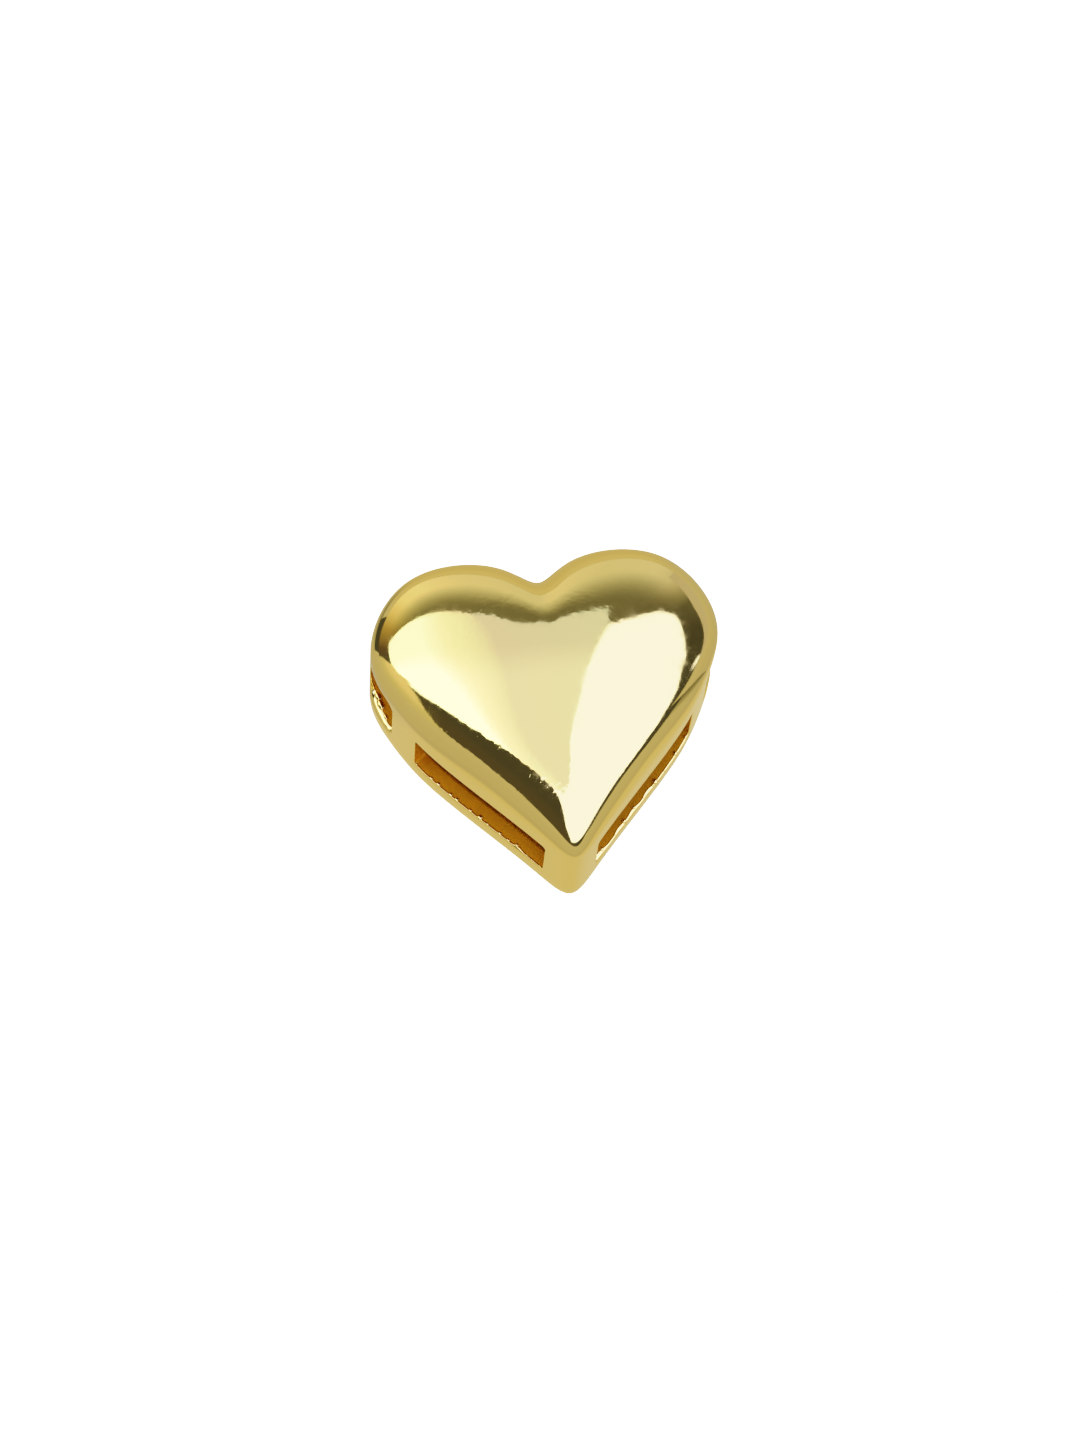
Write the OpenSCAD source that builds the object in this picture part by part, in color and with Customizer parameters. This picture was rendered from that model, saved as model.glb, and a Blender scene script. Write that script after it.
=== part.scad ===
// A hollow cast heart that slides on a band or a ribbon. It lies on its flat back: +X is to the
// right and +Y towards the notch as seen from the front, and +Z points out of the domed front.
// All sizes are in millimetres.

/* [Heart] */
// Width across the two lobes
heart_width = 12; // [11:0.5:18]
// Height of the upright side wall above the flat back
wall_height = 3.6; // [3.6:0.1:5]
// Rise of the domed front above the side wall
dome_rise = 2.5; // [1.6:0.1:3.5]
// Rounding of the edge between the back and the side wall
back_round = 0.15; // [0.05:0.05:0.25]

/* [Walls] */
// Thickness of the side wall
side_wall = 0.6; // [0.4:0.05:0.7]
// Thickness of the back plate
back_wall = 0.6; // [0.4:0.05:0.8]
// Thickness of the domed front
front_wall = 0.6; // [0.4:0.05:0.8]

/* [Slots] */
// Height of every slot's lower edge above the back
slot_sill = 0.85; // [0.8:0.05:1]
// Length of the long slot in each lower side
long_slot_length = 5.85; // [4:0.05:6]
// Height of the long slot's opening
long_slot_height = 2; // [1.5:0.1:2.2]
// Corner radius of the long slot
long_slot_round = 0.15; // [0.1:0.05:0.4]
// Length of the short slot above it, at the widest place
short_slot_length = 1.85; // [1.2:0.05:2]
// Height of the short slot's opening
short_slot_height = 2.45; // [1.5:0.05:2.5]
// Corner radius of the short slot
short_slot_round = 0.4; // [0.1:0.05:0.5]

/* [Smoothness] */
// Points along each span of the outline
span_steps = 4; // [4:1:6]
// Level curves between the side wall and the crown
dome_steps = 12; // [8:1:12]

/* [Hidden] */
// Control points of the outline's right half, from the tip to the notch, for a heart about
// 12 wide. The two end points lie on the middle line.
OUTLINE_CONTROL = [
    // across, up
    [0, -6],
    [1, -4.7],
    [3.2, -2.4],
    [4.7, -0.75],
    [5.55, 0.75],
    [6.4, 2.65],
    [4.7, 5.7],
    [1.05, 5.6],
    [0, 3.95],
];
// Where each right-hand slot sits: the middle of its chord and the chord's direction
SLOT_PLACES = [
    // across, up, direction in degrees
    [2.88, -2.65, 48.4],
    [5.76, 1.55, 73.5],
];
// Radius of the round that the outline turns into towards the crown, for a heart about 12 wide
CROWN_ROUND = 4.7;
// How fast it turns into that round, as a power of the level from the crown to the side wall
FADE_POWER = 2.7;
// Depth of the slot cutters on each side of a slot's chord
CUT_OUT = 0.9;
CUT_IN = 1.1;
// Straight pieces in each rounded corner of a slot
CORNER_STEPS = 4;
// Level curves in the rounded edge of the back
EDGE_STEPS = 3;

// One point of a uniform cubic spline, between its control points b and c
function spline_point(a, b, c, d, t) =
    ((1 - t)^3 * a + (3 * t^3 - 6 * t^2 + 4) * b + (-3 * t^3 + 3 * t^2 + 3 * t + 1) * c + t^3 * d) / 6;

// The point of a closed list that lies k places on
function around(points, k) = points[(k + len(points)) % len(points)];

function closed_spline(points) = [
    for (i = [0 : len(points) - 1], k = [0 : span_steps - 1])
        spline_point(around(points, i - 1), points[i], around(points, i + 1), around(points, i + 2), k / span_steps)
];

function column(points, k) = [for (p = points) p[k]];

// Both halves of the control polygon, counterclockwise from the tip
RIGHT_HALF = OUTLINE_CONTROL;
LEFT_HALF = [for (k = [len(RIGHT_HALF) - 2 : -1 : 1]) [-RIGHT_HALF[k][0], RIGHT_HALF[k][1]]];
CONTROL = concat(RIGHT_HALF, LEFT_HALF);

// The control polygon at the heart's real size, centred on the middle of its outline
plain_outline = closed_spline(CONTROL);
size_factor = heart_width / (2 * max(column(plain_outline, 0)));
middle_y = (max(column(plain_outline, 1)) + min(column(plain_outline, 1))) / 2;
function placed(point) = size_factor * [point[0], point[1] - middle_y];
control = [for (p = CONTROL) placed(p)];

// Unit vector that points into the heart at control point k
function inward(k) =
    let (along = around(control, k + 1) - around(control, k - 1))
    [-along[1], along[0]] / norm(along);

// The outline, moved in by a distance
function outline(inset) = closed_spline([for (k = [0 : len(control) - 1]) control[k] + inset * inward(k)]);

crown_round = size_factor * CROWN_ROUND;

// A level curve of the dome. At level 1 it is the outline, and towards level 0, at the crown,
// it turns into a circle.
function level_curve(rim, round_radius, level) = [
    for (p = rim)
        let (reach = norm(p), share = level^FADE_POWER)
        p * level * ((1 - share) * round_radius + share * reach) / reach
];

function at_height(points, z) = [for (p = points) [p[0], p[1], z]];

function flatten(lists) = [for (list = lists, item = list) item];

// A closed form from rings of points that run from its flat floor up to one point, its peak
module ringed_form(rings, peak_height) {
    sides = len(rings[0]);
    top = len(rings) - 1;
    points = concat(flatten(rings), [[0, 0, peak_height]]);
    floor_face = [for (k = [0 : sides - 1]) k];
    walls = [
        for (r = [0 : top - 1], k = [0 : sides - 1])
            let (next = (k + 1) % sides)
            each [
                [r * sides + k, (r + 1) * sides + k, (r + 1) * sides + next],
                [r * sides + k, (r + 1) * sides + next, r * sides + next],
            ]
    ];
    cap = [for (k = [0 : sides - 1]) [top * sides + k, len(points) - 1, top * sides + (k + 1) % sides]];
    polyhedron(points, concat([floor_face], walls, cap));
}

// The domed rings over a rim, from the top of the wall to the last one before the crown
function dome_rings(rim, round_radius, rise) = [
    for (k = [dome_steps : -1 : 1])
        let (turn = 90 * k / dome_steps)
        at_height(level_curve(rim, round_radius, sin(turn)), wall_height + rise * cos(turn))
];

// The whole outer form, as if it were solid
module outer_form() {
    rim = outline(0);
    back_rings = [
        for (k = [0 : EDGE_STEPS])
            let (turn = 90 * k / EDGE_STEPS)
            at_height(outline(back_round * (1 - sin(turn))), back_round * (1 - cos(turn)))
    ];
    rings = concat(back_rings, dome_rings(rim, crown_round, dome_rise));
    ringed_form(rings, wall_height + dome_rise);
}

// The space inside, under the dome and between the walls
module hollow() {
    rim = outline(side_wall);
    rise = dome_rise - front_wall;
    rings = concat([at_height(rim, back_wall)], dome_rings(rim, crown_round - side_wall, rise));
    ringed_form(rings, wall_height + rise);
}

// A rectangle with rounded corners, centred across and standing on the X axis
function slot_shape(length, height, radius) = [
    for (corner = [
        // across, up, first angle
        [length / 2 - radius, radius, -90],
        [length / 2 - radius, height - radius, 0],
        [radius - length / 2, height - radius, 90],
        [radius - length / 2, radius, 180],
    ])
        for (k = [0 : CORNER_STEPS])
            let (angle = corner[2] + 90 * k / CORNER_STEPS)
            [corner[0] + radius * cos(angle), corner[1] + radius * sin(angle)]
];

// The cutter of one slot in the right-hand wall
module slot_cutter(place, length, height, radius) {
    translate(concat(placed([place[0], place[1]]), [slot_sill]))
        rotate(place[2])
            translate([0, CUT_IN, 0])
                rotate([90, 0, 0])
                    linear_extrude(CUT_IN + CUT_OUT)
                        polygon(slot_shape(length, height, radius));
}

module right_slots() {
    slot_cutter(SLOT_PLACES[0], long_slot_length, long_slot_height, long_slot_round);
    slot_cutter(SLOT_PLACES[1], short_slot_length, short_slot_height, short_slot_round);
}

// The one-piece cast body: a closed shell with two slots through each side
module heart_body() {
    color("gold")
        difference() {
            outer_form();
            hollow();
            right_slots();
            mirror([1, 0, 0]) right_slots();
        }
}

heart_body();
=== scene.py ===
"""A hollow gold heart that slides on a band, lying on its back on a white table.

The heart lies in its own frame, in metres: +X is to the right and +Y towards the notch as seen
from the front, and +Z points out of the domed front.
"""

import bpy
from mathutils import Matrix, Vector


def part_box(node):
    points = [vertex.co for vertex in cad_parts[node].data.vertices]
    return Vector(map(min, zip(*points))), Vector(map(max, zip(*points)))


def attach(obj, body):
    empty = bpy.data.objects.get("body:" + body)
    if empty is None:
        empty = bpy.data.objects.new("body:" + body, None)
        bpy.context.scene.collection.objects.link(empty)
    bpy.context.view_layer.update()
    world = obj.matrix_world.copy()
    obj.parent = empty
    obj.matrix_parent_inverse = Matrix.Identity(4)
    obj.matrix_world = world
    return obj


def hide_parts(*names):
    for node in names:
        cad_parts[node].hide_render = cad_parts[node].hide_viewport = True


bl_info = {
    "name": "Heart Slide Pendant",
    "version": (1, 0, 0),
    "blender": (4, 5, 0),
    "location": "View3D > Sidebar > Pendant",
    "description": "Builds a polished gold heart with slots through its side wall, and its studio",
    "category": "Add Mesh",
}

from math import atan2, cos, floor, pi, radians, sin

import bmesh
import bpy
from bpy.props import FloatProperty, FloatVectorProperty, IntProperty, PointerProperty
from mathutils import Matrix, Vector, noise

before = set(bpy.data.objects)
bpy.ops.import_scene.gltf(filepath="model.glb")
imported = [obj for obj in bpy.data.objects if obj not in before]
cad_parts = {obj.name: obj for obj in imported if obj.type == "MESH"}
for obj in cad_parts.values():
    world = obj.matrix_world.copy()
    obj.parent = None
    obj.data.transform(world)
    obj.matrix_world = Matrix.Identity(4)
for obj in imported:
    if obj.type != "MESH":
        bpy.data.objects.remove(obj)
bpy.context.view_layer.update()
BODY_LOW, BODY_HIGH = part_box("heart_body")

MM = 0.001


# What a user may change


def length(name, description, default):
    """A size in metres."""
    return FloatProperty(
        name=name, description=description, default=default, min=0, precision=5, unit="LENGTH"
    )


def colour(name, description, default):
    """A plain colour."""
    return FloatVectorProperty(
        name=name, description=description, default=default, min=0, max=1, subtype="COLOR"
    )


def number(name, description, default):
    """A number without a unit."""
    return FloatProperty(
        name=name, description=description, default=default, min=0, precision=3
    )


def count(name, description, default):
    """A whole number of faces."""
    return IntProperty(name=name, description=description, default=default, min=8)


class HeartSizes(bpy.types.PropertyGroup):
    """The driving sizes of the heart."""

    width: length("Width", "Width across the two lobes", BODY_HIGH.x - BODY_LOW.x)
    thickness: length(
        "Thickness", "From the flat back to the crown", BODY_HIGH.z - BODY_LOW.z
    )
    wall_height: length("Wall height", "Height of the upright side wall", 3.6 * MM)
    crown_round: length("Crown round", "Radius of the round under the crown", 4.69 * MM)
    back_round: length("Back round", "Rounding between the back and the side wall", 0.15 * MM)
    shell: length("Shell", "Thickness of the wall, the back and the dome", 0.6 * MM)
    sill: length("Sill", "Height of the slots' lower edges above the back", 0.85 * MM)
    lip: length("Lip", "Rounding of the slots' outer edges", 0.03 * MM)
    wear: length("Wear", "How much polishing has added to that rounding", 0.11 * MM)
    bead: length("Bead", "Radius of the small casting beads along the sills", 0.08 * MM)
    bead_spacing: length("Bead spacing", "Distance from one bead to the next", 0.45 * MM)
    columns: count("Columns", "Columns of faces along each span of the outline", 32)
    dome_rings: count("Dome rings", "Rings of faces from the side wall to the crown", 48)


class GoldFinish(bpy.types.PropertyGroup):
    """The colours and polish of the gold."""

    polished: colour("Polished gold", "Colour of the polished outside", (0.93, 0.75, 0.32))
    cast: colour("Cast gold", "Colour of the rough cast inside", (0.82, 0.38, 0.015))
    roughness: number("Roughness", "Roughness of the polished outside", 0.06)
    ripple: length("Ripple", "Height of the fine ripples that polishing leaves", 0.003 * MM)
    pits: length("Pits", "Depth of the tiny pits in the polish", 0.0008 * MM)


class StudioLight(bpy.types.PropertyGroup):
    """The brightness of the studio. Anything brighter than 1.7 comes out pure white."""

    panels: number("Panels", "Brightness of both light panels where they are brightest", 2.25)
    backdrop: number("Backdrop", "Brightness of the foot of the pale backdrop", 1)
    room: number("Room", "Brightness of the dark room", 0.098)
    white: number("White", "Brightness of the table and the room for the camera", 2)


# The heart's form

# The outline's right half from the tip to the notch, for a heart about 12 wide. These are the
# control points of a uniform cubic spline, and the two end points lie on the middle line.
OUTLINE_CONTROL = [
    # across, up
    (0, -6),
    (1, -4.7),
    (3.2, -2.4),
    (4.7, -0.75),
    (5.55, 0.75),
    (6.4, 2.65),
    (4.7, 5.7),
    (1.05, 5.6),
    (0, 3.95),
]
# How many places on each span of the outline are measured for its size
MEASURED = 20
# How fast the outline turns into a round on the way up the dome
FADE_POWER = 2.7


class Slot:
    """A slot through the right-hand wall, and its mirror image in the left-hand one.

    middle and heading give the middle of its chord and the chord's direction in degrees. worn
    says how much polishing has rounded the edge of its sill, on the right and on the left, each
    at its front and its back end. beads says how large the beads on its sill are and how far
    they are drawn out, as shares of a plain bead. The sizes are in millimetres.
    """

    def __init__(self, middle, heading, length, height, corner, worn, beads):
        self.middle = Vector(middle) * MM
        self.along = Vector((cos(radians(heading)), sin(radians(heading))))
        self.half = length * MM / 2
        self.height = height * MM
        self.corner = corner * MM
        self.worn = worn
        self.beads = beads


LONG_SLOT = Slot(
    middle=(2.88, -2.65),
    heading=48.4,
    length=5.85,
    height=2,
    corner=0.15,
    worn=((0.9, -0.6), (-0.6, -0.6)),
    beads=(1, 1),
)
SHORT_SLOT = Slot(
    middle=(5.76, 1.55),
    heading=73.5,
    length=1.85,
    height=2.45,
    corner=0.4,
    worn=((1.8, 1.8), (1.8, 1.8)),
    beads=(1.7, 1.9),
)
SLOTS = (LONG_SLOT, SHORT_SLOT)
# The stretch of the outline, in spans from the tip, that holds both slots, and how often it is
# halved to find a place on it
SLOT_STRETCH = (0.3, 5.5)
HALVINGS = 40
# Rows of faces in the side wall, in millimetres above the slots' sill and above each slot's top
SILL_ROWS = (0, 0.07, 0.15, 0.27, 0.4, 0.7, 1.1, 1.5)
LONG_TOP_ROWS = (-0.15, -0.07, 0)
SHORT_TOP_ROWS = (-0.3, -0.2, -0.1, 0, 0.12)


class Outline:
    """A closed uniform cubic spline. A place on it counts the spans from the tip."""

    def __init__(self, control):
        self.control = control

    def point(self, place):
        """The point at a place."""
        span = floor(place)
        t = place - span
        near = [self.control[(span + k) % len(self.control)] for k in (-1, 0, 1, 2)]
        weights = (
            (1 - t) ** 3,
            3 * t**3 - 6 * t**2 + 4,
            -3 * t**3 + 3 * t**2 + 3 * t + 1,
            t**3,
        )
        return sum((weight * point for weight, point in zip(weights, near)), Vector((0, 0))) / 6

    def moved_in(self, distance):
        """The outline at a distance inside this one."""
        moved = []
        for k, point in enumerate(self.control):
            along = self.control[(k + 1) % len(self.control)] - self.control[k - 1]
            moved.append(point + distance * Vector((-along.y, along.x)).normalized())
        return Outline(moved)


def heart_outline(width):
    """The outline at its real size, centred on the middle of its box."""
    right = [Vector(point) for point in OUTLINE_CONTROL]
    left = [Vector((-point.x, point.y)) for point in reversed(right[1:-1])]
    plain = Outline(right + left)
    measured = [plain.point(k / MEASURED) for k in range(MEASURED * len(plain.control))]
    factor = width / (2 * max(point.x for point in measured))
    heights = [point.y for point in measured]
    middle = Vector((0, (max(heights) + min(heights)) / 2))
    return Outline([factor * (point - middle) for point in plain.control])


def place_along(outline, slot, across):
    """The place on the right-hand outline at a distance along the slot's chord from its
    middle."""
    low, high = SLOT_STRETCH
    for _ in range(HALVINGS):
        place = (low + high) / 2
        if (outline.point(place) - slot.middle).dot(slot.along) < across:
            low = place
        else:
            high = place
    return place


class HeartForm:
    """The heart's skins as rings of places, with its columns lined up with the slots' ends."""

    def __init__(self, sizes):
        self.sizes = sizes
        self.rim = heart_outline(sizes.width)
        self.inner_rim = self.rim.moved_in(sizes.shell)
        ends = self.slot_ends(self.rim)
        self.stretches = [
            max(2, round((b - a) * sizes.columns)) for a, b in zip(ends, ends[1:])
        ]

    def slot_ends(self, outline):
        """The places where the slots end, with the tip before them and the notch after them."""
        ends = [0]
        for slot in SLOTS:
            ends += [place_along(outline, slot, across) for across in (-slot.half, slot.half)]
        return ends + [len(OUTLINE_CONTROL) - 1]

    def columns_of(self, outline):
        """The place of every column on an outline, all the way round from the tip."""
        ends = self.slot_ends(outline)
        right = []
        for a, b, faces in zip(ends, ends[1:], self.stretches):
            right += [a + (b - a) * k / faces for k in range(faces)]
        spans = len(outline.control)
        left = [spans - place for place in reversed(right[1:])]
        return right + [spans / 2] + left

    def slot_columns(self, slot, mirrored):
        """The first and last column of a slot."""
        before = 2 * SLOTS.index(slot) + 1
        first = sum(self.stretches[:before])
        last = first + self.stretches[before]
        around = 2 * sum(self.stretches)
        return (around - last, around - first) if mirrored else (first, last)

    def flat_ring(self, inset, height):
        """A ring of places at one height, at a distance inside the outline."""
        outline = self.rim.moved_in(inset)
        lift = Vector((0, 0, height))
        return [outline.point(place).to_3d() + lift for place in self.columns_of(outline)]

    def dome(self, inset, rings):
        """The rings of the dome over a rim, closer together at the wall."""
        round_radius = self.sizes.crown_round - inset
        rise = self.sizes.thickness - self.sizes.wall_height - inset
        rim = self.flat_ring(inset, 0)
        made = []
        for k in range(rings - 1, 0, -1):
            turn = pi / 2 * k / rings
            level = sin(turn)
            share = level**FADE_POWER
            ring = []
            for point in rim:
                reach = ((1 - share) * round_radius + share * point.length) * level
                place = point * reach / point.length
                place.z = self.sizes.wall_height + rise * cos(turn)
                ring.append(place)
            made.append(ring)
        return made

    def wall_heights(self):
        """The heights of the wall's rows of faces, with one at each slot's sill and top."""
        sill = self.sizes.sill
        levels = (sill, sill + LONG_SLOT.height, sill + SHORT_SLOT.height)
        rows = (SILL_ROWS, LONG_TOP_ROWS, SHORT_TOP_ROWS)
        heights = [level + step * MM for level, steps in zip(levels, rows) for step in steps]
        return heights + [self.sizes.wall_height]

    def rim_place(self, slot, mirrored, across, up, lip, turn, depth):
        """A point of a slot's opening at a depth into the wall.

        The turn runs from 0 on the wall's face to a quarter turn in the opening, round the
        outer edge, which is worn to a wider lip below the opening than at its sides.
        """
        side = 1 if across > 0 else -1
        end = 1 if up > slot.height / 2 else -1
        sideways, down = self.sizes.lip * (1 - sin(turn)), lip * (1 - sin(turn))
        wide, tall = slot.corner + sideways, slot.corner + down
        half, half_height = slot.half + sideways, slot.height / 2 + down
        x = abs(across) * half / slot.half - (half - wide)
        y = abs(up - slot.height / 2) * half_height * 2 / slot.height - (half_height - tall)
        if x > 0 and y > 0:
            angle = pi / 4 * (y / tall if x / wide >= y / tall else 2 - x / wide)
            x, y = wide * cos(angle), tall * sin(angle)
        across = side * (x + half - wide)
        height = self.sizes.sill + slot.height / 2 + end * (y + half_height - tall)
        outside = self.rim.point(place_along(self.rim, slot, across))
        inside = self.inner_rim.point(place_along(self.inner_rim, slot, across))
        point = outside.lerp(inside, depth / self.sizes.shell)
        return Vector((-point.x if mirrored else point.x, point.y, height))


# The heart's mesh

# Faces across the round between the back and the wall, how far inside it the next ring lies, and
# how far below the sills the wall's plain foot ends
BACK_STEPS = 4
BACK_RING = 0.2 * MM
FOOT_GAP = 0.25 * MM
# The fillet around the floor inside, and its rings as how far each lies in and up, in fillets
FLOOR_FILLET = 0.06 * MM
FLOOR_RINGS = ((4, 0), (1, 0), (0.3, 0.3), (0, 1))
# How many rings the dome has outside for each one inside
OUTER_FOR_INNER = 3
# The rings of faces that line a slot: turns round its lip, then shares of the way inside. The
# ones that end past the polished share have the cast finish.
LIP_TURNS = (pi / 6, pi / 3, pi / 2)
WALL_SHARES = (0.08, 0.18, 0.3, 0.45, 0.65, 0.85)
POLISHED_SHARE = 0.1
# The noise that widens a worn lip: its waves for each metre, its strength, the most that a lip
# is worn, and what sets the slots and the two sides apart in it
STREAKS = 1400
STREAK_STRENGTH = 1.4
MOST_WORN = 1.8
SLOT_SEED = 9000
SIDE_SEED = 5
# The noise that moves and sizes the beads: its step from one bead to the next and from one side
# to the other, its levels for moving and for sizing, and the middle of the beads' sizes
BEAD_STEP = 1.7
BEAD_SIDE_STEP = 3.1
BEAD_LEVELS = (0.3, 5.3)
BEAD_MIDDLE = 0.7
# How far a bead's middle lies inside the lip, as a share of its radius
BEAD_DEPTH = 0.3


def ring_edges(bm, ring):
    """The edges of a closed ring of vertices."""
    return [bm.edges.get((ring[k - 1], ring[k])) for k in range(len(ring))]


def grow_ring(bm, ring, places):
    """Extrudes a closed ring of vertices and puts the new ring in its places."""
    grown = bmesh.ops.extrude_edge_only(bm, edges=ring_edges(bm, ring))["geom"]
    fresh = {item for item in grown if isinstance(item, bmesh.types.BMVert)}
    new_ring = []
    for vert, place in zip(ring, places):
        above = next(e.other_vert(vert) for e in vert.link_edges if e.other_vert(vert) in fresh)
        above.co = place
        new_ring.append(above)
    return new_ring


def cap(bm, ring):
    """Closes a ring with one face."""
    return bmesh.ops.contextual_create(bm, geom=ring_edges(bm, ring))["faces"][0]


def skin(bm, rings, peak):
    """A closed skin over rings of places, from its flat floor to its peak. Returns its rings of
    vertices."""
    made = bmesh.ops.create_circle(bm, cap_ends=False, segments=len(rings[0]), radius=MM)
    grid = [made["verts"]]
    for vert, place in zip(grid[0], rings[0]):
        vert.co = place
    for ring in rings[1:]:
        grid.append(grow_ring(bm, grid[-1], ring))
    cap(bm, grid[0])
    middle = bmesh.ops.poke(bm, faces=[cap(bm, grid[-1])])["verts"][0]
    middle.co = peak
    return grid


def outer_skin(bm, form):
    """The polished outside. Returns its rings of vertices and the number of its first wall
    ring."""
    sizes = form.sizes
    rings = [form.flat_ring(sizes.back_round + BACK_RING, 0)]
    for k in range(BACK_STEPS + 1):
        turn = pi / 2 * k / BACK_STEPS
        inset, height = (sizes.back_round * (1 - share) for share in (sin(turn), cos(turn)))
        rings.append(form.flat_ring(inset, height))
    rings.append(form.flat_ring(0, sizes.sill - FOOT_GAP))
    first_wall_ring = len(rings)
    rings += [form.flat_ring(0, height) for height in form.wall_heights()]
    rings += form.dome(0, sizes.dome_rings)
    return skin(bm, rings, Vector((0, 0, sizes.thickness))), first_wall_ring


def inner_skin(bm, form):
    """The cast inside, with a small fillet around its floor. Returns its rings of vertices and
    the number of its first wall ring."""
    sizes = form.sizes
    rings = [
        form.flat_ring(sizes.shell + inward * FLOOR_FILLET, sizes.shell + up * FLOOR_FILLET)
        for inward, up in FLOOR_RINGS
    ]
    first_wall_ring = len(rings)
    rings += [form.flat_ring(sizes.shell, height) for height in form.wall_heights()]
    rings += form.dome(sizes.shell, sizes.dome_rings // OUTER_FOR_INNER)
    return skin(bm, rings, Vector((0, 0, sizes.thickness - sizes.shell))), first_wall_ring


def slot_rim(grid, first_row, last_row, first_column, last_column):
    """The vertices around a block of a skin, anticlockwise from its lower left as seen
    outside."""
    rim = [grid[first_row][k] for k in range(first_column, last_column)]
    rim += [grid[r][last_column] for r in range(first_row, last_row)]
    rim += [grid[last_row][k] for k in range(last_column, first_column, -1)]
    rim += [grid[r][first_column] for r in range(last_row, first_row, -1)]
    return rim


def open_block(bm, grid, first_row, last_row, first_column, last_column):
    """Takes the faces of a block out of a skin."""
    rows = grid[first_row : last_row + 1]
    block = {vert for row in rows for vert in row[first_column : last_column + 1]}
    faces = [face for face in bm.faces if block.issuperset(face.verts)]
    bmesh.ops.delete(bm, geom=faces, context="FACES")


def lip_at(slot, mirrored, across, up, sizes):
    """The rounding of a slot's outer edge, which polishing has widened in places along the
    sill."""
    seed = Vector((across * STREAKS, slot.half * SLOT_SEED, SIDE_SEED * mirrored))
    front, back = slot.worn[mirrored]
    share = across / (2 * slot.half) + 0.5
    worn = front + share * (back - front) + STREAK_STRENGTH * noise.noise(seed)
    at_sill = max(0, 1 - max(0, up) / (2 * slot.corner))
    return sizes.lip + sizes.wear * min(MOST_WORN, max(0, worn)) * at_sill


def cut_slot(bm, form, skins, slot, mirrored):
    """Opens a slot through both skins and lines it with walls."""
    sizes = form.sizes
    heights = form.wall_heights()
    top = sizes.sill + slot.height
    top_row = min(range(len(heights)), key=lambda k: abs(heights[k] - top))
    columns = form.slot_columns(slot, mirrored)
    rims = []
    for grid, first_wall_ring in skins:
        block = (first_wall_ring, first_wall_ring + top_row, *columns)
        rims.append(slot_rim(grid, *block))
        open_block(bm, grid, *block)
    outer_rim, inner_rim = rims
    marks = []
    for vert in outer_rim:
        flat = Vector((-vert.co.x if mirrored else vert.co.x, vert.co.y))
        marks.append(((flat - slot.middle).dot(slot.along), vert.co.z - sizes.sill))
    lips = [lip_at(slot, mirrored, *mark, sizes) for mark in marks]
    for vert, mark, lip in zip(outer_rim, marks, lips):
        vert.co = form.rim_place(slot, mirrored, *mark, lip, 0, 0)
    for vert, mark in zip(inner_rim, marks):
        vert.co = form.rim_place(slot, mirrored, *mark, 0, pi / 2, sizes.shell)
    ring = outer_rim
    for turn, share in [(turn, 0) for turn in LIP_TURNS] + [(pi / 2, s) for s in WALL_SHARES]:
        places = []
        for mark, lip in zip(marks, lips):
            depth = lip * (1 - cos(turn))
            depth += share * (sizes.shell - depth)
            places.append(form.rim_place(slot, mirrored, *mark, lip, turn, depth))
        ring = grow_ring(bm, ring, places)
        if share > POLISHED_SHARE:
            make_cast(face for vert in ring for face in vert.link_faces)
    edges = ring_edges(bm, ring) + ring_edges(bm, inner_rim)
    make_cast(bmesh.ops.bridge_loops(bm, edges=edges)["faces"])


def make_cast(faces):
    """Gives faces the cast finish instead of the polished one."""
    for face in faces:
        face.material_index = 1


def drop_beads(bm, form, slot, mirrored):
    """Small beads of metal that the casting left along a slot's sill."""
    sizes = form.sizes
    growth, stretch = slot.beads
    heading = atan2(slot.along.y, -slot.along.x if mirrored else slot.along.x)
    shape = Matrix.Rotation(heading, 4, "Z") @ Matrix.Diagonal((stretch, 1, 1, 1))
    for k in range(round(2 * slot.half / sizes.bead_spacing)):
        shift, change = (
            noise.noise(Vector((BEAD_STEP * k, BEAD_SIDE_STEP * mirrored, level)))
            for level in BEAD_LEVELS
        )
        radius = sizes.bead * growth * (BEAD_MIDDLE + change)
        across = (k + 0.5 + shift) * sizes.bead_spacing - slot.half
        depth = lip_at(slot, mirrored, across, 0, sizes) + BEAD_DEPTH * radius
        place = form.rim_place(slot, mirrored, across, 0, 0, pi / 2, depth)
        matrix = Matrix.Translation(place) @ shape
        bmesh.ops.create_icosphere(bm, subdivisions=2, radius=radius, matrix=matrix)


def heart_mesh(sizes):
    """The whole casting as one mesh, with the beads sunk into it."""
    form = HeartForm(sizes)
    bm = bmesh.new()
    inner = inner_skin(bm, form)
    make_cast(bm.faces)
    outer = outer_skin(bm, form)
    openings = [(slot, mirrored) for slot in SLOTS for mirrored in (False, True)]
    for slot, mirrored in openings:
        cut_slot(bm, form, (outer, inner), slot, mirrored)
    for slot, mirrored in openings:
        drop_beads(bm, form, slot, mirrored)
    bmesh.ops.recalc_face_normals(bm, faces=bm.faces)
    for face in bm.faces:
        face.smooth = True
    mesh = bpy.data.meshes.new("heart_body_gold")
    bm.to_mesh(mesh)
    bm.free()
    return mesh


# Finishes


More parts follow.
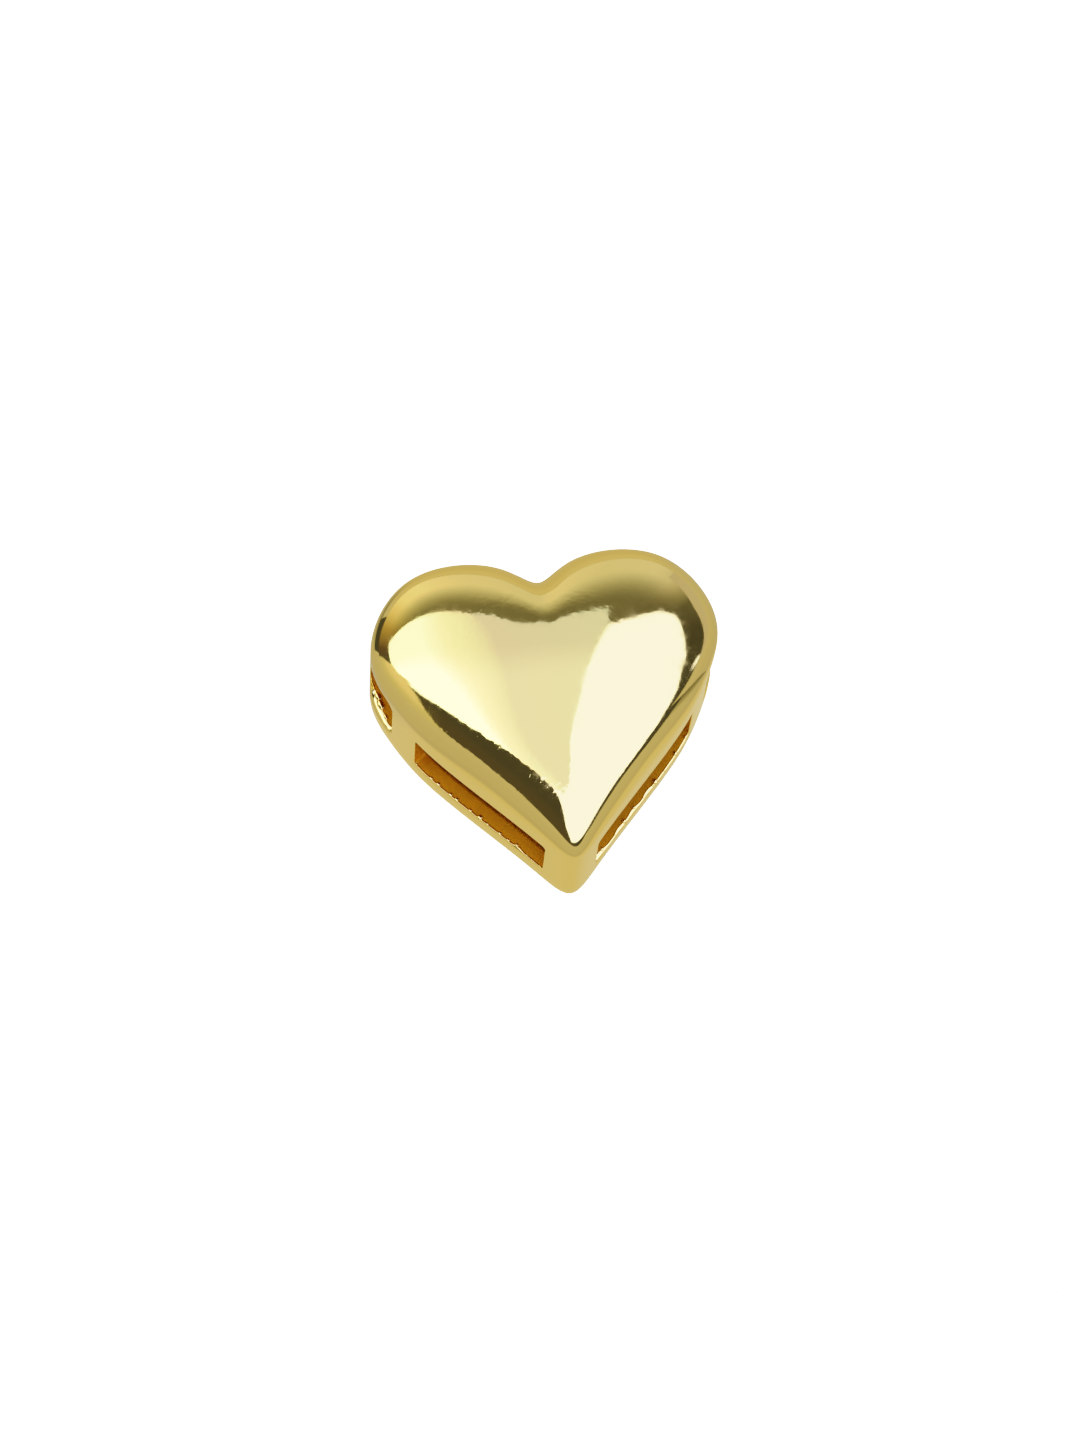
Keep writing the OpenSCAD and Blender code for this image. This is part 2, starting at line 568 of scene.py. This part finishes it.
class Recipe:
    """The nodes of a material or of the world, with short ways to add and link them."""

    def __init__(self, tree):
        self.nodes = tree.nodes
        self.link = tree.links.new

    def feed(self, value, socket):
        """Links a value to a socket, or sets the socket to it where it is a plain one."""
        if isinstance(value, bpy.types.NodeSocket):
            self.link(value, socket)
        else:
            socket.default_value = value

    def maths(self, operation, first, second=0):
        """One step of arithmetic."""
        node = self.nodes.new("ShaderNodeMath")
        node.operation = operation
        self.feed(first, node.inputs[0])
        self.feed(second, node.inputs[1])
        return node.outputs["Value"]

    def product(self, first, *others):
        """Some values multiplied with each other."""
        for other in others:
            first = self.maths("MULTIPLY", first, other)
        return first

    def distance(self, across, up):
        """How far a place lies away, from how far it lies across and up."""
        squares = [self.maths("POWER", side, 2) for side in (across, up)]
        return self.maths("SQRT", self.maths("ADD", *squares))

    def split(self, coordinates):
        """The X, Y and Z of one of the coordinates that Blender knows."""
        source = self.nodes.new("ShaderNodeTexCoord")
        node = self.nodes.new("ShaderNodeSeparateXYZ")
        self.link(source.outputs[coordinates], node.inputs["Vector"])
        return node.outputs["X"], node.outputs["Y"], node.outputs["Z"]

    def noise(self, scale, detail):
        """A noise on Object coordinates, with a scale in waves for each metre."""
        source = self.nodes.new("ShaderNodeTexCoord")
        texture = self.nodes.new("ShaderNodeTexNoise")
        texture.inputs["Scale"].default_value = scale
        texture.inputs["Detail"].default_value = detail
        self.link(source.outputs["Object"], texture.inputs["Vector"])
        return texture.outputs["Fac"]

    def bump(self, height, distance, below=None):
        """A bump of a real height in metres, on top of another one where there is one."""
        node = self.nodes.new("ShaderNodeBump")
        node.inputs["Distance"].default_value = distance
        self.link(height, node.inputs["Height"])
        if below is not None:
            self.link(below, node.inputs["Normal"])
        return node.outputs["Normal"]

    def map_range(self, value, source, target, smooth=True):
        """A value moved from one range to another, and held at its ends."""
        node = self.nodes.new("ShaderNodeMapRange")
        node.interpolation_type = "SMOOTHSTEP" if smooth else "LINEAR"
        names = ("From Min", "From Max", "To Min", "To Max")
        for name, end in zip(names, (*source, *target)):
            node.inputs[name].default_value = end
        self.link(value, node.inputs["Value"])
        return node.outputs["Result"]

    def mix(self, share, first, second, blend="MIX"):
        """A share of a second colour over a first one."""
        node = self.nodes.new("ShaderNodeMix")
        node.data_type = "RGBA"
        node.blend_type = blend
        self.feed(share, node.inputs["Factor"])
        sockets = [item for item in node.inputs if item.type == "RGBA"]
        for socket, value in zip(sockets, (first, second)):
            self.feed(value if isinstance(value, bpy.types.NodeSocket) else (*value, 1), socket)
        return next(item for item in node.outputs if item.type == "RGBA")

    def colour_ramp(self, value, stops):
        """A colour that follows a value between stops, each a value and a colour."""
        node = self.nodes.new("ShaderNodeValToRGB")
        (low, first), *middle, (high, last) = stops
        elements = node.color_ramp.elements
        elements[0].color = (*first, 1)
        elements[1].color = (*last, 1)
        for place, shade in middle:
            elements.new((place - low) / (high - low)).color = (*shade, 1)
        self.link(self.map_range(value, (low, high), (0, 1), smooth=False), node.inputs["Fac"])
        return node.outputs["Color"]


def new_material(name):
    """A material with its recipe and its Principled shader."""
    material = bpy.data.materials.new(name)
    material.use_nodes = True
    return material, Recipe(material.node_tree), material.node_tree.nodes["Principled BSDF"]


# The polishing marks' strength, each as a range of places and the strength at its two ends.
# They fade away from a middle place, are strong in front and behind, and weak on the shoulder
# and the crown.
MARKS_MIDDLE_X = -0.6 * MM
MARKS_AWAY = ((3.3 * MM, 4.3 * MM), (1, 0.12))
MARKS_FRONT = ((-1.5 * MM, 0.5 * MM), (1.7, 0.7))
MARKS_BEHIND = ((1.6 * MM, 2.3 * MM), (1, 2))
MARKS_SHOULDER = ((4.5 * MM, 4.9 * MM), (0.1, 1))
MARKS_CROWN = ((5.4 * MM, 5.8 * MM), (1, 0.3))
# The noises of the polish, in waves for each metre, and the part of each that counts
RIPPLE_SCALE = 3700
PIT_SCALE = 7000
PIT_NOISE = (0.68, 0.8)
SMEAR_SCALE = 3000
SMEAR_NOISE = (0.35, 0.7)
SMEAR_CHANGE = (0.8, 1.6)
# The cast inside: how metallic and shiny it is, its mottled colour and roughness, its grain,
# and the painted shade that darkens it towards the right: where it grows, and how dark it gets
CAST_METALLIC = 0.4
CAST_SPECULAR = 0.1
MOTTLE_SCALE = 2600
MOTTLE_NOISE = (0.4, 0.65)
MOTTLE_DARK = 0.85
ROUGH_NOISE = (0.3, 0.7)
ROUGH_CHANGE = (0.6, 0.4)
GRAIN_SCALE = 4000
GRAIN_HEIGHT = 0.003 * MM
SHADE_TOWARDS_RIGHT = (0, 2 * MM)
SHADE_DARKEST = 0.65


def polishing_marks(recipe):
    """How strong the polishing marks are: most in the middle, in front of the crown and behind
    it, and least around the sides."""
    x, y, z = recipe.split("Object")
    away = recipe.distance(recipe.maths("SUBTRACT", x, MARKS_MIDDLE_X), y)
    places = (
        (away, MARKS_AWAY),
        (y, MARKS_FRONT),
        (y, MARKS_BEHIND),
        (z, MARKS_SHOULDER),
        (z, MARKS_CROWN),
    )
    return recipe.product(*(recipe.map_range(place, *change) for place, change in places))


def polished_gold(finish):
    """Mirror-polished gold plating, with the ripples and pits that a polishing wheel leaves."""
    material, recipe, shader = new_material("polished_gold")
    shader.inputs["Base Color"].default_value = (*finish.polished, 1)
    shader.inputs["Metallic"].default_value = 1
    marks = polishing_marks(recipe)
    ripples = recipe.product(recipe.noise(RIPPLE_SCALE, 1), marks)
    specks = recipe.map_range(recipe.noise(PIT_SCALE, 1), PIT_NOISE, (0, 1))
    rippled = recipe.bump(ripples, finish.ripple)
    pitted = recipe.bump(recipe.product(specks, marks), finish.pits, below=rippled)
    recipe.link(pitted, shader.inputs["Normal"])
    change = [finish.roughness * share for share in SMEAR_CHANGE]
    smears = recipe.map_range(recipe.noise(SMEAR_SCALE, 3), SMEAR_NOISE, change)
    recipe.link(smears, shader.inputs["Roughness"])
    return material


def cast_gold(finish):
    """The rough, deeper coloured gold inside, as the casting left it, with painted shade that
    makes it darkest on the right.
    """
    material, recipe, shader = new_material("cast_gold")
    shader.inputs["Metallic"].default_value = CAST_METALLIC
    shader.inputs["Specular IOR Level"].default_value = CAST_SPECULAR
    mottle = recipe.noise(MOTTLE_SCALE, 4)
    dark, shaded_cast = ([share * part for part in finish.cast] for share in (MOTTLE_DARK, SHADE_DARKEST))
    mottled = recipe.mix(recipe.map_range(mottle, MOTTLE_NOISE, (0, 1)), dark, finish.cast)
    # Painted shade: the cast colour is darkened towards the right
    right = recipe.map_range(recipe.split("Object")[0], SHADE_TOWARDS_RIGHT, (0, 1))
    recipe.link(recipe.mix(right, mottled, shaded_cast), shader.inputs["Base Color"])
    rough = recipe.map_range(mottle, ROUGH_NOISE, ROUGH_CHANGE)
    recipe.link(rough, shader.inputs["Roughness"])
    grain = recipe.bump(recipe.noise(GRAIN_SCALE, 2), GRAIN_HEIGHT)
    recipe.link(grain, shader.inputs["Normal"])
    return material


# The studio

# The left light panel lies level over the heart
LEFT_HEIGHT = 0.4
LEFT_CORNERS = [
    # across and towards the back, for each metre of its height
    (-2.6, 0.08),
    (-2, 0.06),
    (-1.73, 0.02),
    (-1.37, -0.19),
    (-1.09, -0.29),
    (-0.77, -0.44),
    (-0.6, -0.61),
    (-0.5, -0.63),
    (-0.01, -0.47),
    (0.16, -0.27),
    (0.2, 0.05),
    (0.32, 0.4),
    (0.64, 1.06),
    (0.66, 1.38),
    (0.2, 1.47),
    (0.1, 1.34),
    (-0.08, 1.26),
    (-0.2, 1.41),
    (-0.5, 1.44),
    (-2.3, 1.75),
    (-2.8, 0.5),
]
# Its cloth is brightest at its left end, where the lamp behind it is
LEFT_CLOTH = [
    # across for each metre of its height, colour
    (-0.85, (0.86, 0.95, 1)),
    (-0.6, (0.68, 0.64, 0.69)),
    (-0.3, (0.40, 0.42, 0.54)),
    (0.5, (0.39, 0.43, 0.54)),
]
# What is left of its light at the back, and where it dims for each metre of its height
BACK_OF_CLOTH = (0.84, 0.87, 0.83)
BACK_STRETCH = (0.4, 0.9)
# The other things around are given by where the heart sees them: azimuth from the back towards
# the right, and elevation, both in degrees. The distances are in metres.
RIGHT_AIM = (120, 45)
RIGHT_DISTANCE = 1.6
# The right light panel is larger and farther off, so the left one hides a part of it
RIGHT_CORNERS = [
    (-140, 52),
    (-143, 25),
    (-158, 8),
    (180, 11),
    (150, 10),
    (128, 4),
    (118, 0),
    (104, 0),
    (92, 8.5),
    (82.5, 19),
    (77, 23.5),
    (65, 26.7),
    (50, 26.7),
    (43, 29.9),
    (37, 35),
    (31, 38.6),
    (0, 60),
]
RIGHT_CLOTH = (0.67, 0.71, 0.95)
# A slit of light beside it
SLIT_CORNERS = [(87.3, 7.8), (86.8, 4.1), (88.2, 0), (88.9, 3.2)]


class Board:
    """A pale board that stands around the heart, which shines by itself with painted light. Its
    light changes from its foot to its top.
    """

    def __init__(self, aim, distance, corners, cloth, foot, top):
        self.aim = aim
        self.distance = distance
        self.corners = corners
        self.cloth = cloth
        self.foot = foot
        self.top = top


BOARDS = {
    "left_board": Board(
        aim=(-85, 10),
        distance=0.9,
        corners=[(-108, 0), (-66, 0), (-67, 8), (-73, 20.5), (-80, 22), (-85, 26), (-96, 13)],
        cloth=(1, 0.94, 0.64),
        foot=0.62,
        top=0.8,
    ),
    "right_board": Board(
        aim=(68, 5),
        distance=2.4,
        corners=[
            (36, 0),
            (91, 0),
            (85, 3.2),
            (79, 5.6),
            (69, 9.6),
            (61, 11.8),
            (53, 13.6),
            (36, 11.4),
        ],
        cloth=(0.86, 0.81, 0.76),
        foot=0.65,
        top=0.65,
    ),
}
# Between which heights a board's light changes, for each metre of its distance
BOARD_RISE = (0.05, 0.33)
# The pale backdrop behind the heart, with a dark gap beside the board
BACKDROP_GLOW = [
    # azimuth, colour
    (-66, (0.02, 0.01, 0)),
    (-58, (0.06, 0.02, 0)),
    (-50, (0.22, 0.14, 0.04)),
    (-44, (0.37, 0.25, 0.08)),
    (-37, (0.62, 0.53, 0.28)),
    (-28, (0.77, 0.74, 0.50)),
    (-18, (0.79, 0.77, 0.58)),
    (-3, (0.66, 0.65, 0.51)),
    (12, (0.60, 0.60, 0.49)),
    (30, (0.61, 0.61, 0.53)),
    (37, (0.54, 0.53, 0.47)),
    (41, (0.40, 0.38, 0.33)),
    (44, (0.25, 0.24, 0.20)),
    (49, (0.06, 0.06, 0.05)),
    (66, (0, 0, 0)),
]
# The slopes between which the backdrop's light fades, and the share of it that is left
BACKDROP_FADE = (0.24, 0.6)
BACKDROP_LEFT = 0.16
# The least level share of a direction, which keeps the slope finite straight up
LEAST_LEVEL = 0.001
ROOM_COLOUR = (0.97, 1, 0.88)
# The white table top as the gold sees it. It ends near the heart on two sides.
TABLE_HALF = 3
TABLE_EDGE = [
    # across, up, in metres
    (-TABLE_HALF, TABLE_HALF / 2),
    (-0.0175, 0.0095),
    (-0.0128, 0.0128),
    (-0.8 * TABLE_HALF, TABLE_HALF),
    (TABLE_HALF, TABLE_HALF),
    (TABLE_HALF, -0.16 * TABLE_HALF),
    (0.045, -0.0048),
    (0.030, -0.0085),
    (0.030, -0.0125),
    (0.034, -0.017),
    (0.042, -0.028),
    (TABLE_HALF, -0.78 * TABLE_HALF),
    (TABLE_HALF, -TABLE_HALF),
    (-TABLE_HALF, -TABLE_HALF),
]
# Its tones in front of the heart and behind it, by the distance from the heart's middle. They
# are painted light and shade: in front, painted warm light that is lighter near the heart;
# behind it, a painted shadow near the heart with warm light from the gold in it. The front ones
# reach farther to the right, by a share of the way across. They turn into the back ones between
# two shares of the way straight back.
TABLE_FRONT = [
    (7.2 * MM, (0.67, 0.61, 0.37)),
    (8.6 * MM, (0.52, 0.48, 0.36)),
    (11.5 * MM, (0.55, 0.52, 0.40)),
    (40 * MM, (0.58, 0.55, 0.43)),
]
TABLE_BACK = [
    (7.2 * MM, (0.45, 0.31, 0.06)),
    (8.8 * MM, (0.59, 0.52, 0.30)),
    (40 * MM, (0.65, 0.59, 0.39)),
]
FRONT_REACH = 0.15
BACK_TURN = (0.75, 0.95)
# The crease in it, with its shade painted in: where it starts, its slope, how wide it grows for
# each metre to the right, its least width, and the light that is left in it
CREASE_X, CREASE_Y = 0.0102, 0.0009
CREASE_SLOPE = -0.157
CREASE_GROWTH = 0.3
CREASE_LEAST = 0.0001
CREASE_LIGHT = 0.35
# The soft shadow at its left edge: its middle, its reach and the light in its middle
SHADOW_X, SHADOW_Y = -0.012, 0.013
SHADOW_REACH = (1 * MM, 7 * MM)
SHADOW_LIGHT = 0.55


def direction(azimuth, elevation):
    """The unit vector from the heart towards a place in the studio."""
    a, e = radians(azimuth), radians(elevation)
    return Vector((sin(a) * cos(e), cos(a) * cos(e), sin(e)))


def emission(name, shade=(1, 1, 1), strength=1):
    """A material that only shines. Returns it with its recipe and its emission shader."""
    material, recipe, shader = new_material(name)
    recipe.nodes.remove(shader)
    light = recipe.nodes.new("ShaderNodeEmission")
    light.inputs["Color"].default_value = (*shade, 1)
    light.inputs["Strength"].default_value = strength
    recipe.link(light.outputs["Emission"], recipe.nodes["Material Output"].inputs["Surface"])
    return material, recipe, light


def stage_object(name, bm, material, camera_sees):
    """An object of the stage, seen either by the camera or by the gold."""
    mesh = bpy.data.meshes.new(name)
    bm.to_mesh(mesh)
    bm.free()
    mesh.materials.append(material)
    made = bpy.data.objects.new(name, mesh)
    bpy.context.scene.collection.objects.link(made)
    made.visible_camera = camera_sees
    made.visible_glossy = not camera_sees
    made.visible_diffuse = not camera_sees
    made.visible_shadow = not camera_sees


def sheet(name, corners, material):
    """A flat sheet that the gold sees."""
    bm = bmesh.new()
    bm.faces.new([bm.verts.new(corner) for corner in corners])
    stage_object(name, bm, material, camera_sees=False)


def aimed(corners, aim, distance):
    """The corners of a flat sheet that faces the heart, from where the heart sees them."""
    facing = direction(*aim)
    ways = [direction(*corner) for corner in corners]
    return [way * distance / way.dot(facing) for way in ways]


def left_cloth(light):
    """The left panel's cloth, which is brightest at its left end and dimmer at the back."""
    material, recipe, shine = emission("left_panel", strength=light.panels)
    x, y, z = recipe.split("Object")
    cloth = recipe.colour_ramp(recipe.maths("DIVIDE", x, z), LEFT_CLOTH)
    back = recipe.map_range(recipe.maths("DIVIDE", y, z), BACK_STRETCH, (0, 1))
    recipe.link(recipe.mix(back, cloth, BACK_OF_CLOTH, "MULTIPLY"), shine.inputs["Color"])
    return material


def hang_panels(light):
    """The two light panels, the slit of light and the two pale boards."""
    corners = [(x * LEFT_HEIGHT, y * LEFT_HEIGHT, LEFT_HEIGHT) for x, y in LEFT_CORNERS]
    sheet("left_panel", corners, left_cloth(light))
    for name, corners in (("right_panel", RIGHT_CORNERS), ("slit", SLIT_CORNERS)):
        cloth = emission(name, RIGHT_CLOTH, light.panels)[0]
        sheet(name, aimed(corners, RIGHT_AIM, RIGHT_DISTANCE), cloth)
    for name, board in BOARDS.items():
        cloth, recipe, shine = emission(name, board.cloth)
        rise = [slope * board.distance for slope in BOARD_RISE]
        glow = recipe.map_range(recipe.split("Object")[2], rise, (board.foot, board.top))
        recipe.link(glow, shine.inputs["Strength"])
        sheet(name, aimed(board.corners, board.aim, board.distance), cloth)


def crease_light(recipe, x, y):
    """The light that the table's crease leaves, as painted shade: least along its upper edge,
    which is sharp, and more below it."""
    along = recipe.maths("SUBTRACT", x, CREASE_X)
    line = recipe.maths("ADD", recipe.product(along, CREASE_SLOPE), CREASE_Y)
    width = recipe.maths("MAXIMUM", recipe.product(along, CREASE_GROWTH), CREASE_LEAST)
    above = recipe.maths("DIVIDE", recipe.maths("SUBTRACT", y, line), width)
    fold = recipe.map_range(above, (-1, 0), (1, CREASE_LIGHT), smooth=False)
    lit = recipe.maths("MAXIMUM", fold, recipe.maths("GREATER_THAN", above, 0))
    before = recipe.maths("SUBTRACT", 1, recipe.maths("GREATER_THAN", along, 0))
    return recipe.maths("MAXIMUM", lit, before)


def table_in_gold():
    """The table top's material as the gold sees it. It shines by itself, with painted light and
    shade: lighter near the heart in front, a painted shadow near it behind, painted shade along a
    dark crease that runs off to the right and a painted soft shadow at the left."""
    material, recipe, shine = emission("table_in_gold")
    x, y, _ = recipe.split("Object")
    away = recipe.distance(x, y)
    lopsided = recipe.maths("SUBTRACT", away, recipe.product(x, FRONT_REACH))
    # Painted light near the heart in front, and painted shadow near it behind
    front = recipe.colour_ramp(lopsided, TABLE_FRONT)
    back = recipe.colour_ramp(away, TABLE_BACK)
    behind = recipe.map_range(recipe.maths("DIVIDE", y, away), BACK_TURN, (0, 1))
    recipe.link(recipe.mix(behind, front, back), shine.inputs["Color"])
    # A painted soft shadow at the left, and painted shade along the crease
    sides = [recipe.maths("SUBTRACT", *pair) for pair in ((x, SHADOW_X), (y, SHADOW_Y))]
    shadow = recipe.map_range(recipe.distance(*sides), SHADOW_REACH, (SHADOW_LIGHT, 1))
    recipe.link(recipe.product(crease_light(recipe, x, y), shadow), shine.inputs["Strength"])
    return material


def lay_table(light):
    """The table top. The photo washes it out to white, while the gold mirrors it darker, so the
    camera sees one sheet and the gold another in the same place."""
    bm = bmesh.new()
    bmesh.ops.create_grid(bm, x_segments=1, y_segments=1, size=TABLE_HALF)
    white = emission("white_table", strength=light.white)[0]
    stage_object("white_table", bm, white, camera_sees=True)
    sheet("table_in_gold", [(x, y, 0) for x, y in TABLE_EDGE], table_in_gold())


def light_room(light):
    """The room: dark, with a pale backdrop that fades upwards, and plain white for the
    camera."""
    world = bpy.data.worlds.new("room")
    world.use_nodes = True
    bpy.context.scene.world = world
    recipe = Recipe(world.node_tree)
    room = recipe.nodes["Background"]
    room.inputs["Color"].default_value = (*ROOM_COLOUR, 1)
    room.inputs["Strength"].default_value = light.room
    x, y, z = recipe.split("Generated")
    stops = [(radians(azimuth), shade) for azimuth, shade in BACKDROP_GLOW]
    glow = recipe.colour_ramp(recipe.maths("ARCTAN2", x, y), stops)
    level = recipe.maths("MAXIMUM", recipe.distance(x, y), LEAST_LEVEL)
    left = (light.backdrop, BACKDROP_LEFT * light.backdrop)
    fade = recipe.map_range(recipe.maths("DIVIDE", z, level), BACKDROP_FADE, left)
    backdrop = recipe.nodes.new("ShaderNodeBackground")
    recipe.link(glow, backdrop.inputs["Color"])
    above = recipe.maths("GREATER_THAN", z, 0)
    recipe.link(recipe.product(fade, above), backdrop.inputs["Strength"])
    both = recipe.nodes.new("ShaderNodeAddShader")
    recipe.link(room.outputs["Background"], both.inputs[0])
    recipe.link(backdrop.outputs["Background"], both.inputs[1])
    white = recipe.nodes.new("ShaderNodeBackground")
    white.inputs["Strength"].default_value = light.white
    seen = recipe.nodes.new("ShaderNodeMixShader")
    path = recipe.nodes.new("ShaderNodeLightPath")
    recipe.link(path.outputs["Is Camera Ray"], seen.inputs["Fac"])
    recipe.link(both.outputs["Shader"], seen.inputs[1])
    recipe.link(white.outputs["Background"], seen.inputs[2])
    recipe.link(seen.outputs["Shader"], recipe.nodes["World Output"].inputs["Surface"])


# The photo's tones: how bright a light of some brightness comes out
TONES = [
    # light, shown
    (0, 0),
    (0.03, 0.014),
    (0.07, 0.045),
    (0.12, 0.098),
    (0.2, 0.19),
    (0.4, 0.4),
    (0.6, 0.6),
    (0.8, 0.8),
    (1.2, 0.92),
    (1.4, 0.96),
    (1.7, 1),
    (2, 1),
]


def set_tones():
    """Gives the view the photo's tones, with soft highlights and deep shadows."""
    view = bpy.context.scene.view_settings
    view.view_transform = "Standard"
    view.use_curve_mapping = True
    mapping = view.curve_mapping
    brightest = TONES[-1][0]
    mapping.white_level = (brightest,) * 3
    # The curve of all three colours already has its first and last points
    curve = mapping.curves[3]
    for light, shown in TONES[1:-1]:
        curve.points.new(light / brightest, shown)
    for point in curve.points:
        point.handle_type = "AUTO_CLAMPED"
    mapping.update()


# The camera looks down from the front and a little from the left, and is rolled. The angles are
# in degrees.
CAMERA_AZIMUTH = 14.566
CAMERA_ELEVATION = 67.236
CAMERA_ROLL = 7.426
CAMERA_DISTANCE = 139.53 * MM
LOOKS_AT = Vector((0, 0, 2 * MM))
# Where the photo has the point that the camera looks at, in its pixels
IMAGE_WIDTH, IMAGE_HEIGHT = 1080, 1440
TARGET_X, TARGET_Y = 551.67, 724.30
PIXELS_PER_MM = 29.038
# The width of its sensor, in millimetres
SENSOR_WIDTH = 36
# The nearest and the farthest that it sees, in metres
CLIP_START, CLIP_END = 1 * MM, 100


def place_camera():
    """The camera at the photo's angle."""
    data = bpy.data.cameras.new("camera")
    camera = bpy.data.objects.new("camera", data)
    bpy.context.scene.collection.objects.link(camera)
    a, e, roll = radians(CAMERA_AZIMUTH), radians(CAMERA_ELEVATION), radians(CAMERA_ROLL)
    back = Vector((-sin(a) * cos(e), -cos(a) * cos(e), sin(e)))
    level = Vector((cos(a), -sin(a), 0))
    upright = back.cross(level)
    right = cos(roll) * level + sin(roll) * upright
    up = cos(roll) * upright - sin(roll) * level
    turn = Matrix((right, up, back)).transposed().to_4x4()
    camera.matrix_world = Matrix.Translation(LOOKS_AT + CAMERA_DISTANCE * back) @ turn
    data.sensor_fit = "HORIZONTAL"
    data.sensor_width = SENSOR_WIDTH
    focal_pixels = PIXELS_PER_MM * CAMERA_DISTANCE / MM
    data.lens = data.sensor_width * focal_pixels / IMAGE_WIDTH
    data.shift_x = (IMAGE_WIDTH / 2 - TARGET_X) / IMAGE_WIDTH
    data.shift_y = (TARGET_Y - IMAGE_HEIGHT / 2) / IMAGE_WIDTH
    data.clip_start = CLIP_START
    data.clip_end = CLIP_END
    bpy.context.scene.camera = camera


# The operators, the panel and the start


class PENDANT_OT_stage(bpy.types.Operator):
    """Lays the white table, hangs the light panels and sets the camera"""

    bl_idname = "pendant.stage"
    bl_label = "Set the Stage"

    def execute(self, context):
        light = context.scene.studio_light
        lay_table(light)
        light_room(light)
        hang_panels(light)
        place_camera()
        set_tones()
        return {"FINISHED"}


class PENDANT_OT_heart(bpy.types.Operator):
    """Builds the hollow gold heart with its slots"""

    bl_idname = "pendant.heart"
    bl_label = "Build the Heart"

    def execute(self, context):
        finish = context.scene.gold_finish
        mesh = heart_mesh(context.scene.heart_sizes)
        mesh.materials.append(polished_gold(finish))
        mesh.materials.append(cast_gold(finish))
        heart = bpy.data.objects.new("gold_heart", mesh)
        context.scene.collection.objects.link(heart)
        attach(heart, "root")
        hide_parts("heart_body")
        return {"FINISHED"}


class PENDANT_PT_panel(bpy.types.Panel):
    """Lists the heart's sizes, its finish and the studio"""

    bl_idname = "PENDANT_PT_panel"
    bl_label = "Heart Slide Pendant"
    bl_space_type = "VIEW_3D"
    bl_region_type = "UI"
    bl_category = "Pendant"

    def draw(self, context):
        for group, operator in (
            (context.scene.heart_sizes, None),
            (context.scene.gold_finish, "pendant.heart"),
            (context.scene.studio_light, "pendant.stage"),
        ):
            column = self.layout.column()
            for name in group.__annotations__:
                column.prop(group, name)
            if operator:
                column.operator(operator)


CLASSES = (
    HeartSizes,
    GoldFinish,
    StudioLight,
    PENDANT_OT_stage,
    PENDANT_OT_heart,
    PENDANT_PT_panel,
)


def register():
    for cls in CLASSES:
        bpy.utils.register_class(cls)
    bpy.types.Scene.heart_sizes = PointerProperty(type=HeartSizes)
    bpy.types.Scene.gold_finish = PointerProperty(type=GoldFinish)
    bpy.types.Scene.studio_light = PointerProperty(type=StudioLight)


def unregister():
    del bpy.types.Scene.studio_light
    del bpy.types.Scene.gold_finish
    del bpy.types.Scene.heart_sizes
    for cls in reversed(CLASSES):
        bpy.utils.unregister_class(cls)


def main():
    register()
    bpy.ops.pendant.stage()
    bpy.ops.pendant.heart()


if __name__ == "__main__":
    main()
